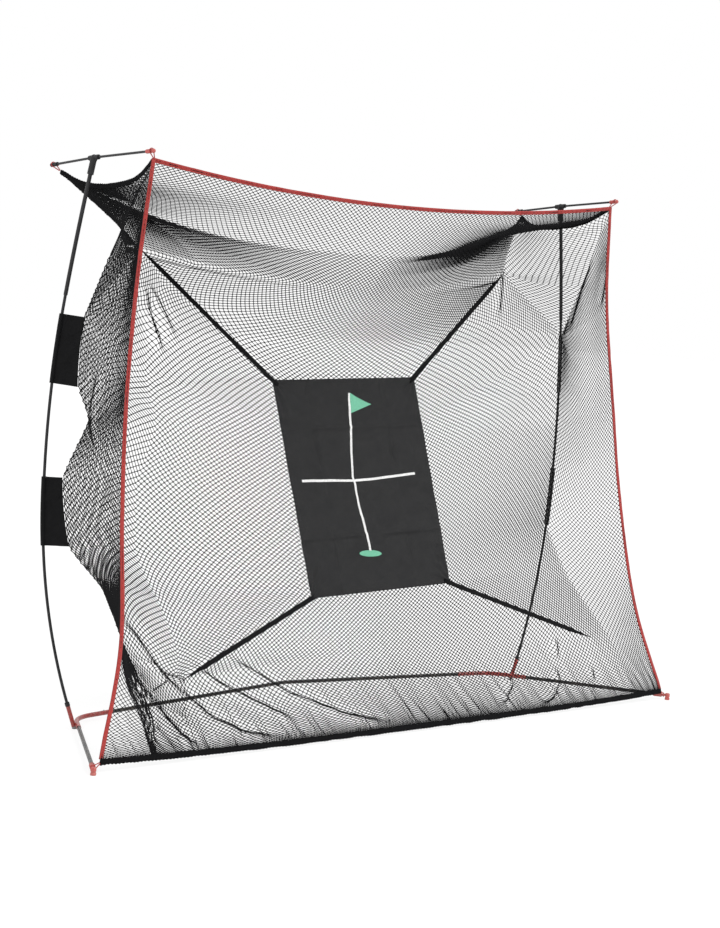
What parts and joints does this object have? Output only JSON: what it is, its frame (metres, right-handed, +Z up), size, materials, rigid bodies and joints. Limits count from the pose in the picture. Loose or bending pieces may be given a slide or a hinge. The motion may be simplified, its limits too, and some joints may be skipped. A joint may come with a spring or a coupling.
{
  "type": "golf practice net",
  "caption": "Free-standing golf practice net: a tubular base and bow poles with swivelling top bars hold a deep net with a hanging target sheet.",
  "frame": {"origin": "on the ground, under the middle of the whole object", "axes": "+X along the width, to the right of someone facing the net; +Y to the back, away from the player; +Z up"},
  "size_m": [3.132, 0.92, 2.2633],
  "materials": {
    "red_paint": "satin powder coat",
    "black_paint": "satin powder coat",
    "red_plastic": "moulded, slightly faded",
    "black_plastic": "moulded",
    "black_fibreglass": "smooth resin",
    "bright_steel": "drawn",
    "grey_plastic": "moulded",
    "net_cord": "knotted polyester",
    "red_webbing": "woven",
    "black_webbing": "woven",
    "black_cloth": "woven",
    "target_cloth": "woven, printed",
    "red_elastic": "braided elastic"
  },
  "bodies": {
    "frame": {"corner_tube_left": "red_paint", "corner_tube_right": "red_paint", "pole_socket_left": "red_paint", "pole_socket_right": "red_paint", "socket_plug_left": "grey_plastic", "socket_plug_right": "grey_plastic", "rear_tube_left": "black_paint", "rear_tube_right": "black_paint", "rear_centre_bend": "black_paint", "foot_tube_left": "black_paint", "foot_tube_right": "black_paint", "foot_cap_left": "red_plastic", "foot_cap_right": "red_plastic", "snap_spring_left": "bright_steel", "snap_spring_right": "bright_steel", "pole_collars": "black_plastic", "pole_lower_left": "black_fibreglass", "pole_lower_right": "black_fibreglass", "pole_middle_left": "black_fibreglass", "pole_middle_right": "black_fibreglass", "pole_upper_left": "black_fibreglass", "pole_upper_right": "black_fibreglass", "pole_ferrules": "bright_steel", "net_roof_left": "net_cord", "net_roof_right": "net_cord", "net_back_left": "net_cord", "net_back_right": "net_cord", "net_lower_left": "net_cord", "net_lower_right": "net_cord", "net_side_left": "net_cord", "net_side_right": "net_cord", "hem_top": "red_webbing", "hem_left": "red_webbing", "hem_right": "red_webbing", "hem_bottom": "black_webbing", "roof_seam_left": "black_webbing", "roof_seam_right": "black_webbing", "pole_sleeves_left": "black_cloth", "pole_sleeves_right": "black_cloth", "target_sheet": "target_cloth", "straps_left": "black_webbing", "straps_right": "black_webbing", "ground_loops": "red_elastic"},
    "t_bar_left": {"top_hub_left": "black_plastic", "bar_front_rod_left": "black_fibreglass", "bar_rear_rod_left": "black_fibreglass", "bar_front_cap_left": "red_plastic", "bar_rear_cap_left": "black_plastic", "corner_loops_left": "red_elastic"},
    "snap_button_left": {"snap_button_left": "bright_steel"},
    "t_bar_right": {"top_hub_right": "black_plastic", "bar_front_rod_right": "black_fibreglass", "bar_rear_rod_right": "black_fibreglass", "bar_front_cap_right": "red_plastic", "bar_rear_cap_right": "black_plastic", "corner_loops_right": "red_elastic"},
    "snap_button_right": {"snap_button_right": "bright_steel"}
  },
  "joints": [
    {"name": "t_bar_left_swivel", "type": "hinge", "parent": "frame", "child": "t_bar_left", "pos_m": [-1.27794, 0.15869, 2.2317], "axis": [0.1716, -0.0592, 0.9834], "range_deg": [-8, 8], "stiffness_Nm_per_rad": 12, "deforming": ["corner_loops_left"]},
    {"name": "t_bar_right_swivel", "type": "hinge", "parent": "frame", "child": "t_bar_right", "pos_m": [1.27794, 0.15869, 2.2317], "axis": [-0.1716, -0.0592, 0.9834], "range_deg": [-8, 8], "stiffness_Nm_per_rad": 12, "deforming": ["corner_loops_right"]},
    {"name": "snap_button_left_press", "type": "slide", "parent": "frame", "child": "snap_button_left", "axis": [0, 0, 1], "range_m": [-0.0035, 0], "stiffness_N_per_m": 600, "deforming": ["snap_spring_left"]},
    {"name": "snap_button_right_press", "type": "slide", "parent": "frame", "child": "snap_button_right", "axis": [0, 0, 1], "range_m": [-0.0035, 0], "stiffness_N_per_m": 600, "deforming": ["snap_spring_right"]}
  ]
}
